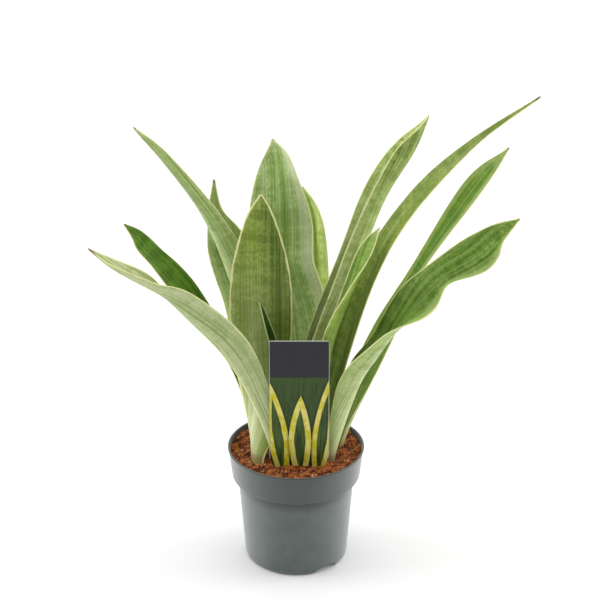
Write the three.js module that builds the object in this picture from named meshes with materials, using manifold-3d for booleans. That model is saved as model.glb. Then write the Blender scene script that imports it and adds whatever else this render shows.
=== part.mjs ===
// A snake plant with thirteen upright leaves, standing in coir in a round nursery pot with a care tag.
// Millimetres, +Z up. The origin is under the middle of the pot and the plant's front looks along -Y.
import * as THREE from "three";
import { mergeVertices } from "three/addons/utils/BufferGeometryUtils.js";
import Module from "manifold-3d";

const wasm = await Module();
wasm.setup();

// Pot
const potHeight = 107.5;
const lipRadius = 60;
const lipHeight = 1.2;
const lipWidth = 1.9;
const lipRound = 0.4;
const bandTopRadius = 59.4;
const bandBottomRadius = 56.3;
const bandBottom = 80.5;
const bodyTopRadius = 51.1;
const bodyTop = 79;
const bodyFootRadius = 45.2;
const bodyFoot = 4;
const baseRadius = 43.2;
const baseRound = 1.3;
const wall = 1.4;
const floorThickness = 2;
const potSides = 48;

// Drain arches in the pot's bottom edge, each with a raised floor and a hole above it
const archCount = 3;
const archTurn = -52.8;
const archHalfWidth = 12.2;
const archHeight = 6;
const archInnerRadius = 33;
const archCap = 2;
const archSurround = 4;
const archSegments = 10;
const drainRadius = 4;
const drainPlace = 38.5;
const drainSides = 14;
const cutThrough = 1;
const weldDistance = 1e-4;

// Coir
const fitGap = 0.35;
const soilLevel = 103.3;
const soilDome = 1;
const soilRings = 11;
const soilWaves = [
  { alongX: 0.34, alongY: 0.12, start: 1.3, height: 0.6 },
  { alongX: -0.21, alongY: 0.37, start: 0.4, height: 0.6 },
  { alongX: 0.62, alongY: -0.5, start: 0, height: 0.4 },
];

// Tag
const tagWidth = 51.6;
const tagTop = 226;
const tagTaperTop = 112;
const tagFootWidth = 7;
const tagFoot = 60;
const tagThickness = 0.8;
const tagCorner = 1.5;
const tagCornerSegments = 4;
const tagMiddle = 2.9;
const tagPlane = -31;

// Leaf blades
const bladeThickness = 2.6;
const bladeTipThickness = 1.5;
const marginThickness = 0.9;
const tipHalfWidth = 0.8;
const bladeStrips = 6;
const stepsPerRow = 4;
const holeRows = 1.5;
const facingFront = new THREE.Vector3(0, -1, 0);

// One row for each place along a leaf, from its buried foot to its tip: the keel's x, y and z, half the
// blade's width, the turn of its inner face (0 looks to the front, 90 to the right) and its roll, which is
// the angle that the blade bends through from margin to margin.
const leaves = [
  {
    name: "leaf_left_low",
    colour: 0x9db088,
    rows: [
      [-4.8, -24.5, 70, 9, 188, 70],
      [-7.5, -27.3, 100, 9.2, 188, 62],
      [-29, -26.5, 165, 9.7, 178, 58],
      [-53.6, -28, 218, 14.3, 170, 45],
      [-94, -37, 259.6, 16.6, 149, 105],
      [-123, -42, 281.2, 16.6, 107, 128],
      [-152, -48, 302.4, 11.2, 100, 112],
      [-171, -54, 323, 0.8, 100, 60],
    ],
  },
  {
    name: "leaf_left_middle",
    colour: 0x54742f,
    rows: [
      [-34, 16, 70, 8, 70, 130],
      [-36, 15, 100, 9, 66, 120],
      [-44, 14, 157, 11, 50, 90],
      [-58, 11.6, 196, 10.9, 49, 64],
      [-76, 8.6, 222, 11.4, 50, 51],
      [-86.2, 5.2, 240, 12.6, 51, 47],
      [-96.2, 2, 258, 13, 52, 44],
      [-107.5, 0, 274.5, 12.1, 52, 42],
      [-119.5, -1.7, 290.6, 9.6, 51, 40],
      [-129.6, -3.2, 303.6, 8.9, 50, 38],
      [-135.2, -4.5, 313, 5.7, 48, 35],
      [-144, -6, 323, 0.8, 45, 30],
    ],
  },
  {
    name: "leaf_left_high",
    colour: 0x8fa67c,
    rows: [
      [-19, 12, 70, 9, 145, 150],
      [-21, 13, 100, 9, 145, 135],
      [-27, 21, 163, 12, 140, 85],
      [-42, 25, 240, 16, 152, 62],
      [-72, 31, 308, 15, 134, 54],
      [-112, 36, 364, 11, 128, 57],
      [-137, 40, 392, 0.8, 140, 40],
    ],
  },
  {
    name: "leaf_rear_left",
    colour: 0x86a072,
    rows: [
      [-12, 28, 70, 9, 180, 140],
      [-14, 30, 100, 9, 180, 130],
      [-33, 39, 162, 17, 182, 70],
      [-45, 49, 225, 21, 172, 48],
      [-60, 58, 274, 18, 190, 36],
      [-70, 65, 303, 7, 180, 34],
      [-71, 71, 331, 0.8, 180, 30],
    ],
  },
  {
    name: "leaf_front",
    colour: 0x6f7f43,
    rows: [
      [-31.9, -32, 70, 10, 109, 120],
      [-36.6, -21.3, 108, 11, 121.5, 120],
      [-27.8, -7.5, 153, 20.4, 172, 64],
      [-29.7, -2, 217, 27, 184, 27],
      [-30, 0, 275, 25, 180, 22],
      [-30, 2, 323, 13, 182, 25],
      [-29, 3, 347, 0.8, 182, 20],
    ],
  },
  {
    name: "leaf_rear_wide",
    colour: 0x6f8f62,
    rows: [
      [2, 13, 70, 11, 0, 140],
      [3, 15, 100, 11, 0, 120],
      [4, 30, 165, 19, 0, 60],
      [-1.3, 43, 216, 29.3, 2, 36],
      [-13.2, 52, 259, 29.2, 4, 33],
      [-14.1, 58, 295, 28.3, 8, 32],
      [-15.3, 64, 344, 18.1, -25.2, 36],
      [-20, 70, 369, 0.8, 0, 20],
    ],
  },
  {
    name: "leaf_rear_middle",
    colour: 0x7fa04f,
    rows: [
      [18, 32, 70, 9, -10, 140],
      [18, 34, 100, 9, -10, 120],
      [18, 48, 148, 12, -9, 70],
      [17, 60, 210, 14, -12, 52],
      [15, 71, 269, 13, -9, 40],
      [13, 79, 297, 8, -6, 38],
      [6, 85, 318, 0.8, -5, 30],
    ],
  },
  {
    name: "leaf_young_left",
    colour: 0x4b6427,
    rows: [
      [-5.5, -3.5, 70, 4, 40, 160],
      [-6, -4, 100, 5, 40, 160],
      [-7.5, -8.5, 150, 5, 40, 140],
      [-16, -12, 195, 5, 40, 120],
      [-24, -15, 230, 4, 40, 105],
      [-31, -18, 258, 0.8, 40, 80],
    ],
  },
  {
    name: "leaf_tall_right",
    colour: 0x8ba36a,
    rows: [
      [9, -6, 70, 10, -75, 185],
      [10, -4, 100, 11, -80, 180],
      [15, 12, 178, 17, -84, 165],
      [52, 18, 272, 27, -92, 165],
      [75, 25, 333, 27, -90, 160],
      [100, 31, 375, 24, -98, 165],
      [112, 36, 405, 0.8, -95, 90],
    ],
  },
  {
    name: "leaf_young_right",
    colour: 0x86a84a,
    rows: [
      [17, -14, 70, 6, -60, 190],
      [18, -14, 100, 6, -62, 190],
      [26, -16, 168, 7, -80, 190],
      [32, -17, 219, 13, -106, 175],
      [50, -17, 272, 12, -83, 140],
      [62, -16, 306, 8, -48, 108],
      [70, -15, 324, 0.8, -50, 80],
    ],
  },
  {
    name: "leaf_long_right",
    colour: 0x6f8440,
    rows: [
      [22, 4, 70, 10, -70, 170],
      [24, 4, 100, 11, -70, 150],
      [37, -2, 182, 15, -62, 80],
      [64, -9, 280, 14, -66, 45],
      [98, -15, 346, 12, -72, 33],
      [145, -21, 402, 4.3, -52, 36],
      [198, -28, 446, 0.8, -55, 25],
    ],
  },
  {
    name: "leaf_rear_right",
    colour: 0x7f9f45,
    rows: [
      [36.9, 6, 70, 6, -75, 180],
      [40.4, 9, 103, 6.3, -70, 165],
      [58.4, 25, 151, 14.8, -58.2, 105],
      [81, 31, 204, 17, -64, 70],
      [104, 38, 257, 8, -62, 48],
      [152, 47, 332, 11.5, -56, 50],
      [182, 55, 367, 0.8, -50, 30],
    ],
  },
  {
    name: "leaf_wavy_right",
    colour: 0x5f8038,
    rows: [
      [31.8, -22, 70, 5.4, -138, 180],
      [32.8, -20, 108, 6.2, -126.3, 173.1],
      [52.6, -16, 172, 23, -107.4, 194.8],
      [71, -20, 208, 24, -104, 145],
      [95, -25, 250, 21, -70, 90],
      [117.6, -30, 283.6, 14, -25, 42],
      [149, -35, 309, 16, -22, 40],
      [167, -38, 329, 9, -30, 37],
      [184, -42, 344, 0.8, -25, 20],
    ],
    ripple: { firstRow: 2.9, lastRow: 7.3, waves: 2, height: 5, spread: 3.2 },
  },
];

const fullTurn = 2 * Math.PI;
const quarterTurn = Math.PI / 2;

// Shared vertices only, without the flat triangles that a lathe leaves on its axis
function welded(geometry) {
  const bare = geometry.clone();
  bare.deleteAttribute("normal");
  bare.deleteAttribute("uv");
  const merged = mergeVertices(bare, weldDistance);
  const corners = merged.getIndex().array;
  const kept = [];
  for (let i = 0; i < corners.length; i += 3) {
    const [a, b, c] = corners.slice(i, i + 3);
    if (a !== b && b !== c && c !== a) {
      kept.push(a, b, c);
    }
  }
  merged.setIndex(kept);
  return merged;
}

function toSolid(geometry) {
  const closed = welded(geometry);
  const vertProperties = new Float32Array(closed.getAttribute("position").array);
  const triVerts = new Uint32Array(closed.getIndex().array);
  return new wasm.Manifold(new wasm.Mesh({ numProp: 3, vertProperties, triVerts }));
}

function toGeometry(solid) {
  const mesh = solid.getMesh();
  const geometry = new THREE.BufferGeometry();
  geometry.setAttribute("position", new THREE.BufferAttribute(new Float32Array(mesh.vertProperties), 3));
  geometry.setIndex(Array.from(mesh.triVerts));
  geometry.computeVertexNormals();
  return geometry;
}

// A turned body about Z from [radius, height] points that start and end on the axis
function turned(points, sides) {
  const profile = points.map(([radius, height]) => new THREE.Vector2(radius, height));
  return new THREE.LatheGeometry(profile, sides).rotateX(quarterTurn);
}

function extruded(outline, depth, curveSegments) {
  return new THREE.ExtrudeGeometry(outline, { depth, bevelEnabled: false, curveSegments });
}

// A block between two radii, across an angle on either side of +X
function ringBlock(innerRadius, outerRadius, halfAngle, height) {
  const outline = new THREE.Shape();
  outline.absarc(0, 0, outerRadius, -halfAngle, halfAngle, false);
  outline.absarc(0, 0, innerRadius, halfAngle, -halfAngle, true);
  return extruded(outline, height, archSegments);
}

function archAngles() {
  const angles = [];
  for (let i = 0; i < archCount; i += 1) {
    angles.push(THREE.MathUtils.degToRad(archTurn) + (fullTurn / archCount) * i);
  }
  return angles;
}

// The raised floor over one arch. "grow" widens it, so that the coir can be cut clear of it.
function archFloor(angle, grow) {
  const halfAngle = (archHalfWidth + archSurround + grow) / baseRadius;
  const innerRadius = archInnerRadius - archCap - grow;
  const outerRadius = bodyFootRadius - wall / 2;
  const block = ringBlock(innerRadius, outerRadius, halfAngle, archHeight + archCap + grow);
  return toSolid(block.rotateZ(angle));
}

function archTunnel(angle) {
  const outline = new THREE.Shape();
  outline.moveTo(archHalfWidth, -cutThrough);
  outline.lineTo(archHalfWidth, 0);
  outline.absellipse(0, 0, archHalfWidth, archHeight, 0, fullTurn / 2, false);
  outline.lineTo(-archHalfWidth, -cutThrough);
  outline.closePath();
  const tunnel = extruded(outline, lipRadius - archInnerRadius, archSegments);
  tunnel.rotateX(quarterTurn);
  tunnel.translate(0, lipRadius, 0);
  return toSolid(tunnel.rotateZ(angle - quarterTurn));
}

function drainHole(angle) {
  const height = 2 * (archHeight + archCap);
  const hole = new THREE.CylinderGeometry(drainRadius, drainRadius, height, drainSides);
  hole.rotateX(quarterTurn);
  hole.translate(drainPlace, 0, height / 2);
  return toSolid(hole.rotateZ(angle));
}

function potGeometry() {
  const shell = turned(
    [
      [0, 0],
      [baseRadius, 0],
      [baseRadius + baseRound, baseRound],
      [bodyFootRadius, bodyFoot],
      [bodyTopRadius, bodyTop],
      [bandBottomRadius - lipRound, bandBottom - lipRound],
      [bandBottomRadius, bandBottom],
      [bandTopRadius, potHeight - lipHeight],
      [lipRadius - lipRound, potHeight - lipHeight],
      [lipRadius, potHeight - lipHeight + lipRound],
      [lipRadius, potHeight - lipRound],
      [lipRadius - lipRound, potHeight],
      [lipRadius - lipWidth + lipRound, potHeight],
      [lipRadius - lipWidth, potHeight - lipRound],
      [bandTopRadius - wall, potHeight - lipHeight - lipRound],
      [bandBottomRadius - wall, bandBottom + wall],
      [bodyTopRadius - wall, bodyTop + wall / 2],
      [bodyFootRadius - wall, bodyFoot],
      [baseRadius - wall, floorThickness],
      [0, floorThickness],
    ],
    potSides,
  );
  let pot = toSolid(shell);
  for (const angle of archAngles()) {
    pot = pot.add(archFloor(angle, 0));
  }
  for (const angle of archAngles()) {
    pot = pot.subtract(archTunnel(angle)).subtract(drainHole(angle));
  }
  return toGeometry(pot);
}

// The height of the coir's lumpy top over a place in the pot
function soilHeight(x, y, edgeRadius) {
  let height = soilLevel + soilDome * (1 - (x * x + y * y) / (edgeRadius * edgeRadius));
  for (const wave of soilWaves) {
    height += wave.height * Math.sin(wave.alongX * x + wave.alongY * y + wave.start);
  }
  return height;
}

function soilGeometry() {
  const slope = (bandTopRadius - bandBottomRadius) / (potHeight - lipHeight - bandBottom);
  const edgeRadius = bandBottomRadius + slope * (soilLevel - bandBottom) - wall - fitGap;
  const points = [
    [0, floorThickness + fitGap],
    [baseRadius - wall - fitGap, floorThickness + fitGap],
    [bodyFootRadius - wall - fitGap, bodyFoot],
    [bodyTopRadius - wall - fitGap, bodyTop + wall / 2 + fitGap / 2],
    [bandBottomRadius - wall - fitGap, bandBottom + wall + fitGap / 2],
    [edgeRadius, soilLevel],
  ];
  for (let ring = soilRings - 1; ring >= 0; ring -= 1) {
    points.push([(edgeRadius * ring) / soilRings, soilLevel]);
  }
  const body = turned(points, potSides);
  const position = body.getAttribute("position");
  for (let i = 0; i < position.count; i += 1) {
    if (position.getZ(i) > soilLevel - fitGap) {
      position.setZ(i, soilHeight(position.getX(i), position.getY(i), edgeRadius));
    }
  }
  let soil = toSolid(body);
  for (const angle of archAngles()) {
    soil = soil.subtract(archFloor(angle, fitGap));
  }
  for (const leaf of leaves) {
    soil = soil.subtract(toSolid(bladeGeometry(leaf, holeRows, fitGap)));
  }
  soil = soil.subtract(toSolid(tagGeometry(fitGap)));
  return toGeometry(soil);
}

// The tag's outline in front view; "grow" makes the wider blank that leaves its slot in the coir
function tagGeometry(grow) {
  const half = tagWidth / 2 + grow;
  const halfFoot = tagFootWidth / 2 + grow;
  const top = tagTop + grow;
  const outline = new THREE.Shape();
  outline.moveTo(halfFoot, tagFoot - grow);
  outline.lineTo(half, tagTaperTop);
  outline.lineTo(half, top - tagCorner);
  outline.absarc(half - tagCorner, top - tagCorner, tagCorner, 0, quarterTurn, false);
  outline.lineTo(-half + tagCorner, top);
  outline.absarc(-half + tagCorner, top - tagCorner, tagCorner, quarterTurn, fullTurn / 2, false);
  outline.lineTo(-half, tagTaperTop);
  outline.lineTo(-halfFoot, tagFoot - grow);
  outline.closePath();
  const depth = tagThickness + 2 * grow;
  const tag = extruded(outline, depth, tagCornerSegments);
  return tag.rotateX(quarterTurn).translate(tagMiddle, tagPlane + depth / 2, 0);
}

// Smooth values and their slopes at a place between the rows, with the ends carried straight on
function between(rows, place) {
  const first = Math.min(Math.floor(place), rows.length - 2);
  const part = place - first;
  const values = [];
  const slopes = [];
  rows[first].forEach((b, column) => {
    const c = rows[first + 1][column];
    const a = first > 0 ? rows[first - 1][column] : 2 * b - c;
    const d = first + 2 < rows.length ? rows[first + 2][column] : 2 * c - b;
    const square = 2 * a - 5 * b + 4 * c - d;
    const cube = 3 * b - a - 3 * c + d;
    values.push(b + 0.5 * part * (c - a + part * (square + part * cube)));
    slopes.push(0.5 * (c - a + part * (2 * square + 3 * part * cube)));
  });
  return { values, slopes };
}

// Where a blade stands at a place along it: its keel, its side and its inner face's direction
function bladeFrame(rows, place) {
  const { values, slopes } = between(rows, place);
  const [x, y, z, width, turn, roll] = values;
  const onward = new THREE.Vector3(...slopes.slice(0, 3)).normalize();
  const side = new THREE.Vector3().crossVectors(onward, facingFront).normalize();
  side.applyAxisAngle(onward, THREE.MathUtils.degToRad(turn));
  const inward = new THREE.Vector3().crossVectors(side, onward);
  const halfRoll = THREE.MathUtils.degToRad(roll / 2);
  const bendRadius = Math.max(width, tipHalfWidth) / halfRoll;
  return { keel: new THREE.Vector3(x, y, z), onward, side, inward, halfRoll, bendRadius };
}

// How far the front margin stands out in waves, along the blade's normal and away from its keel
function rippleAt(ripple, place, across) {
  if (!ripple || across <= 0 || place <= ripple.firstRow || place >= ripple.lastRow) {
    return { lift: 0, reach: 0 };
  }
  const part = (place - ripple.firstRow) / (ripple.lastRow - ripple.firstRow);
  const swell = Math.sin((fullTurn / 2) * part) * across * across;
  const phase = fullTurn * ripple.waves * part;
  return { lift: ripple.height * Math.sin(phase) * swell, reach: -ripple.spread * Math.cos(phase) * swell };
}

// The points around a blade at a place along it, from margin to margin on its inner and its outer face.
// "grow" thickens and widens the blade, for the hole that it stands in.
function bladeRing(leaf, place, grow) {
  const frame = bladeFrame(leaf.rows, place);
  const middle = THREE.MathUtils.lerp(bladeThickness, bladeTipThickness, place / (leaf.rows.length - 1));
  const inner = [];
  const outer = [];
  for (let strip = 0; strip <= bladeStrips; strip += 1) {
    const across = (2 * strip) / bladeStrips - 1;
    const angle = across * (frame.halfRoll + grow / frame.bendRadius);
    const normal = frame.inward.clone().applyAxisAngle(frame.onward, -angle);
    const sideways = frame.side.clone().applyAxisAngle(frame.onward, -angle);
    const wave = rippleAt(leaf.ripple, place, across);
    const centre = frame.keel.clone().addScaledVector(frame.inward, frame.bendRadius);
    centre.addScaledVector(normal, wave.lift - frame.bendRadius).addScaledVector(sideways, wave.reach);
    const half = THREE.MathUtils.lerp(middle, marginThickness, across * across) / 2 + grow;
    inner.push(centre.clone().addScaledVector(normal, half));
    outer.push(centre.clone().addScaledVector(normal, -half));
  }
  return { inner, outer, onward: frame.onward };
}

// A blade from its foot up to a row. Both faces are split into triangles alike, so they never cross.
function bladeGeometry(leaf, lastRow, grow) {
  const rings = [];
  for (let step = 0; step <= lastRow * stepsPerRow; step += 1) {
    rings.push(bladeRing(leaf, step / stepsPerRow, grow));
  }
  for (const point of [...rings[0].inner, ...rings[0].outer]) {
    point.addScaledVector(rings[0].onward, -grow);
  }
  const acrossCount = bladeStrips + 1;
  const positions = [];
  for (const ring of rings) {
    for (const point of [...ring.inner, ...ring.outer]) {
      positions.push(point.x, point.y, point.z);
    }
  }
  const inner = (ring, strip) => 2 * acrossCount * ring + strip;
  const outer = (ring, strip) => inner(ring, strip) + acrossCount;
  const index = [];
  for (let ring = 0; ring + 1 < rings.length; ring += 1) {
    for (let strip = 0; strip < bladeStrips; strip += 1) {
      index.push(inner(ring, strip), inner(ring, strip + 1), inner(ring + 1, strip + 1));
      index.push(inner(ring, strip), inner(ring + 1, strip + 1), inner(ring + 1, strip));
      index.push(outer(ring, strip), outer(ring + 1, strip + 1), outer(ring, strip + 1));
      index.push(outer(ring, strip), outer(ring + 1, strip), outer(ring + 1, strip + 1));
    }
    index.push(outer(ring, bladeStrips), outer(ring + 1, bladeStrips), inner(ring + 1, bladeStrips));
    index.push(outer(ring, bladeStrips), inner(ring + 1, bladeStrips), inner(ring, bladeStrips));
    index.push(outer(ring, 0), inner(ring + 1, 0), outer(ring + 1, 0));
    index.push(outer(ring, 0), inner(ring, 0), inner(ring + 1, 0));
  }
  const last = rings.length - 1;
  for (let strip = 0; strip < bladeStrips; strip += 1) {
    index.push(inner(0, strip), outer(0, strip + 1), inner(0, strip + 1));
    index.push(inner(0, strip), outer(0, strip), outer(0, strip + 1));
    index.push(inner(last, strip), inner(last, strip + 1), outer(last, strip + 1));
    index.push(inner(last, strip), outer(last, strip + 1), outer(last, strip));
  }
  const geometry = new THREE.BufferGeometry();
  geometry.setAttribute("position", new THREE.Float32BufferAttribute(positions, 3));
  geometry.setIndex(index);
  geometry.computeVertexNormals();
  return geometry;
}

function piece(name, geometry, color, roughness) {
  const material = new THREE.MeshStandardMaterial({ color, roughness, metalness: 0 });
  const mesh = new THREE.Mesh(geometry, material);
  mesh.name = name;
  return mesh;
}

const plant = new THREE.Group();
plant.name = "potted_snake_plant";
plant.add(piece("pot", potGeometry(), 0x727c7a, 0.6));
plant.add(piece("soil", soilGeometry(), 0x84472a, 1));
plant.add(piece("tag", tagGeometry(0), 0x37353b, 0.45));
for (const leaf of leaves) {
  plant.add(piece(leaf.name, bladeGeometry(leaf, leaf.rows.length - 1, 0), leaf.colour, 0.5));
}

export default plant;
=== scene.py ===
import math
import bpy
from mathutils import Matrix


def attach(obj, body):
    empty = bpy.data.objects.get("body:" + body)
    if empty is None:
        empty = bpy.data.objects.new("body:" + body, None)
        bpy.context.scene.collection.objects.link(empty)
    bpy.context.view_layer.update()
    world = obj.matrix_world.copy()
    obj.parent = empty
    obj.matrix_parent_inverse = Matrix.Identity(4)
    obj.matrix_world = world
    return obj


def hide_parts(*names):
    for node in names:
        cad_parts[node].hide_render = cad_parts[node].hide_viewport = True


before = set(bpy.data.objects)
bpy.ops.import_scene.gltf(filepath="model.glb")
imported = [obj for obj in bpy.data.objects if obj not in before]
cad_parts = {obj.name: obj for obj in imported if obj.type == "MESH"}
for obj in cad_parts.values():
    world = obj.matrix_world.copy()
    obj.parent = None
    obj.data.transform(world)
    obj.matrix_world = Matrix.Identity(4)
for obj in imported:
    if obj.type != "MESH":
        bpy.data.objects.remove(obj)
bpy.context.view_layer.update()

# A snake plant in a nursery pot. The scene is in metres, +Z up, and the plant's front looks along -Y.
# Leaf, tag and pot sizes are given in millimetres, as they are measured, and are turned into metres.
from types import SimpleNamespace

import bpy
import numpy as np
from mathutils import Vector

MM = 0.001
TO_MM = 1000
WELD_DISTANCE = 1e-6

# Pot
POT_SIDES = 144
POT_HEIGHT = 107.5
LIP_RADIUS = 60.0
LIP_HEIGHT = 1.2
LIP_WIDTH = 1.8
LIP_FILLET = 0.4
BAND_TOP_RADIUS = 59.4
BAND_BOTTOM_RADIUS = 56.3
BAND_BOTTOM = 80.5
BAND_EDGE_INSET = 0.1
BAND_EDGE_DROP = 0.3
BODY_TOP_RADIUS = 51.1
BODY_TOP = 79.0
BODY_FOOT_RADIUS = 45.2
BODY_FOOT = 4.0
BASE_RADIUS = 43.2
BASE_CHAMFER = 1.3
WALL = 1.4
FLOOR_THICKNESS = 2.0
ARCH_COUNT = 3
ARCH_TURN = -52.8
ARCH_HALF_WIDTH = 12.2
ARCH_HEIGHT = 6.0
ARCH_INNER_RADIUS = 33.0
ARCH_CAP = 2.0
DRAIN_RADIUS = 4.0
DRAIN_PLACE = 38.5
ROUNDING_POINTS = 5
SHARP_ANGLE = 35
BAND_FADE = 1.5
BAND_SHADE_DEPTH = 14
BAND_SHADE_START = 2
STAIN_TOP = 107.0
STAIN_FOOT = 102.0

# The bodies that cut and cover the drain arches: how far they reach, as shares of the base's radius
BAR_SIDES = 64
TUNNEL_REACH = 1.5
COVER_REACH = 1.2
DRAIN_DEPTH = 0.5
CORE_FLARE = 1.04
CORE_DEPTH = 0.18
CORE_LIFT = 0.5

# Coir, whose top has waves: the angle per millimetre along x and y, the start and the height of each
SOIL_LEVEL = 103.3
SOIL_EDGE = 57.3
SOIL_DOME = 1.0
SOIL_WAVES = [(0.34, 0.12, 1.3, 0.6), (-0.21, 0.37, 0.4, 0.6), (0.62, -0.5, 0.0, 0.4)]
CRUST_RINGS = 84
CRUST_SIDES = 200
CRUST_FOOT = 100.0
CRUST_EDGE = 57.45
CRUST_TAPER = 0.4
FIBRE_POINTS = 7
ANY_TURN = 6.28
FIBRE_TILT = 0.3

# What each random draw of the coir adds to its seed
SALTS = {"crumb turn": 3, "crumb size": 5, "crumb shape": 7, "crumb": 20, "crumb tone": 21,
         "fibre turn": 31, "fibre shape": 33, "fibre": 40, "fibre tone": 41}

# Coir's colours, from the darkest, which the bed's hollows take as painted shade, to its palest fibres
COIR_TONES = [(0.0, "4C2414"), (0.2, "824422"), (0.48, "B4662F"), (0.78, "C67A3E"), (0.94, "D4925A"),
              (1.0, "E8C8A0")]

# Tag
TAG_WIDTH = 51.6
TAG_TOP = 226.0
TAG_TAPER_TOP = 112.0
TAG_FOOT_WIDTH = 7.0
TAG_FOOT = 60.0
TAG_THICKNESS = 0.8
TAG_CORNER = 1.5
TAG_CORNER_STEPS = 6
TAG_BEVEL = 0.12
TAG_MIDDLE = 2.9
TAG_PLANE = -31.0
TAG_PANEL_FOOT = 190.9
PRINT_EDGE = 0.15
PRINT_BORDER = (0.7, 0.4)
GROUND_DARK = 110.0
GROUND_LIGHT = 190.0
CARD_UNIT = 100

# One row for each leaf on the card's pattern: where its foot is from the card's middle, how it leans and
# curves, how many card units it reaches over the soil, its half width and its yellow margin
CARD_LEAVES = [
    (-15.0, -10.0, -4.0, 0.85, 9.5, 4.6),
    (17.0, 8.0, 4.0, 0.9, 9.0, 4.2),
    (1.0, -3.0, 5.0, 0.7, 10.5, 4.8),
]

# Camera, as it was found from the photo: lengths in pixels, then metres and degrees
PHOTO_SIDE = 600
FOCAL_LENGTH = 2447
SENSOR_WIDTH = 36.0
CAMERA_PLACE = (0.0035, -1.8789, 1.1670)
CAMERA_PITCH = 26.03
CAMERA_REACH = 50.0

# Floor, backdrop and lights: each softbox has its place and size in metres and its power in watts
FLOOR_REACH = 8e3
FLOOR_TONE = 0.93
FLOOR_GLOW = 0.08
DIM_FRONT = 0.35
BRIGHT_BACK = 1.0
LIGHT_TARGET = (0, 0, 0.25)
SOFTBOXES = {
    "left_softbox": ((-1.7, 0.1, 0.9), 1.2, 13),
    "right_softbox": ((1.7, 0.2, 0.9), 1.2, 13),
    "top_softbox": ((0, 0.3, 2.3), 2.0, 10),
}

# Blades
BLADE_THICKNESS = 2.6
BLADE_TIP_THICKNESS = 1.5
MARGIN_THICKNESS = 0.9
TIP_HALF_WIDTH = 0.8
RING_POINTS = 57
STEPS_PER_ROW = 14
LEVEL_STEP = 1e-4
FACING_FRONT = np.array([0.0, -1.0, 0.0])
RIPPLED_LEAF = "leaf_wavy_right"
RIPPLE_FIRST_ROW = 2.9
RIPPLE_LAST_ROW = 7.3
RIPPLE_WAVES = 2
RIPPLE_HEIGHT = 5.0
RIPPLE_SPREAD = 3.2

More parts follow.
